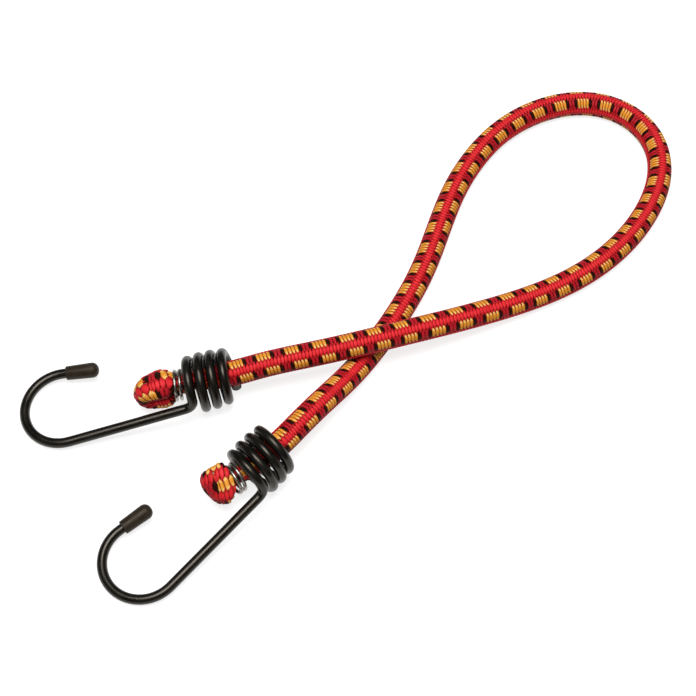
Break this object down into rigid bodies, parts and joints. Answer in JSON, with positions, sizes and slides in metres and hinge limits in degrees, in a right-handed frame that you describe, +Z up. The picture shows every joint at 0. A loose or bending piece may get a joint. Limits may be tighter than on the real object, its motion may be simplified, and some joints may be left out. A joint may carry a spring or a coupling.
{
  "type": "bungee cord",
  "caption": "Braided elastic bungee cord lying in an open loop, with coated wire hooks whose coils swivel on the cord, capped hook tips and crimped folded cord ends.",
  "frame": {"origin": "on the table that the cord lies on, at the middle of the box round the two hooks", "axes": "+Z up from the table, +X from the hooks towards the loop of the cord, +Y away from the viewer of the picture"},
  "size_m": [0.2078, 0.1858, 0.019],
  "materials": {
    "braid": "glossy polyester braid, red with yellow-orange and black flecks",
    "core_rubber": "pale natural rubber, matte",
    "galvanised_steel": "bright galvanised wire",
    "hook_steel": "drawn steel wire with a sheared end",
    "black_coating": "black dipped plastic, satin to glossy",
    "cap_plastic": "soft dark plastic, satin"
  },
  "bodies": {
    "cord": {"braided_sleeve": "braid", "core_strand_1": "core_rubber", "core_strand_2": "core_rubber", "core_strand_3": "core_rubber", "core_strand_4": "core_rubber", "core_strand_5": "core_rubber", "core_strand_6": "core_rubber", "core_strand_7": "core_rubber", "crimp_ring_a": "galvanised_steel", "crimp_ring_b": "galvanised_steel"},
    "hook_a": {"hook_wire_a": "hook_steel", "hook_coating_a": "black_coating", "tip_cap_a": "cap_plastic"},
    "hook_b": {"hook_wire_b": "hook_steel", "hook_coating_b": "black_coating", "tip_cap_b": "cap_plastic"}
  },
  "joints": [
    {"name": "hook_a_swivel", "type": "hinge", "parent": "cord", "child": "hook_a", "pos_m": [0.00985, 0.02975, 0.00939], "axis": [0.9834, 0.1632, 0.0794], "continuous": true},
    {"name": "hook_b_swivel", "type": "hinge", "parent": "cord", "child": "hook_b", "pos_m": [0.02743, -0.00095, 0.00965], "axis": [0.7804, 0.6231, 0.0524], "continuous": true}
  ]
}
